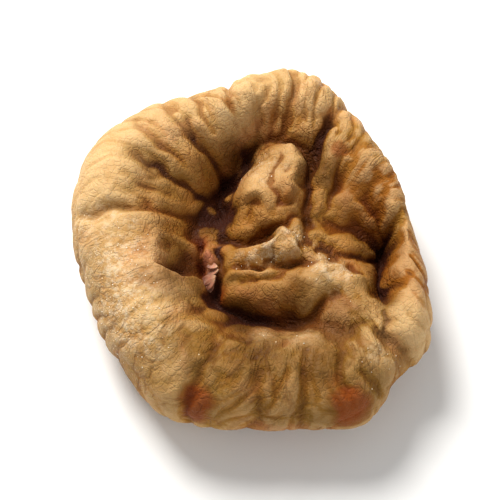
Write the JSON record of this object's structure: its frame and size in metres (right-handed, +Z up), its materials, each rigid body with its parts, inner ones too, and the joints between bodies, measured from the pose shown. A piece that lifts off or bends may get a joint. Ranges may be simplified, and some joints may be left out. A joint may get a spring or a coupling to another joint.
{
  "type": "dried fig",
  "caption": "Whole sun-dried fig pressed to a thick disc, with a swollen pleated rim round a crumpled sunken face and a bent stem stub underneath.",
  "frame": {"origin": "on the resting plane, under the middle of the fruit's bounding box", "axes": "+Z up out of the sunken face, -Y towards someone who looks at the face from its near side, +X to the right"},
  "size_m": [0.0422, 0.0448, 0.0153],
  "materials": {
    "fig_skin": "matt to waxy dried skin, tan to amber, with pale sugar bloom on the raised folds"
  },
  "bodies": {
    "root": {"fig": "fig_skin"}
  },
  "joints": []
}
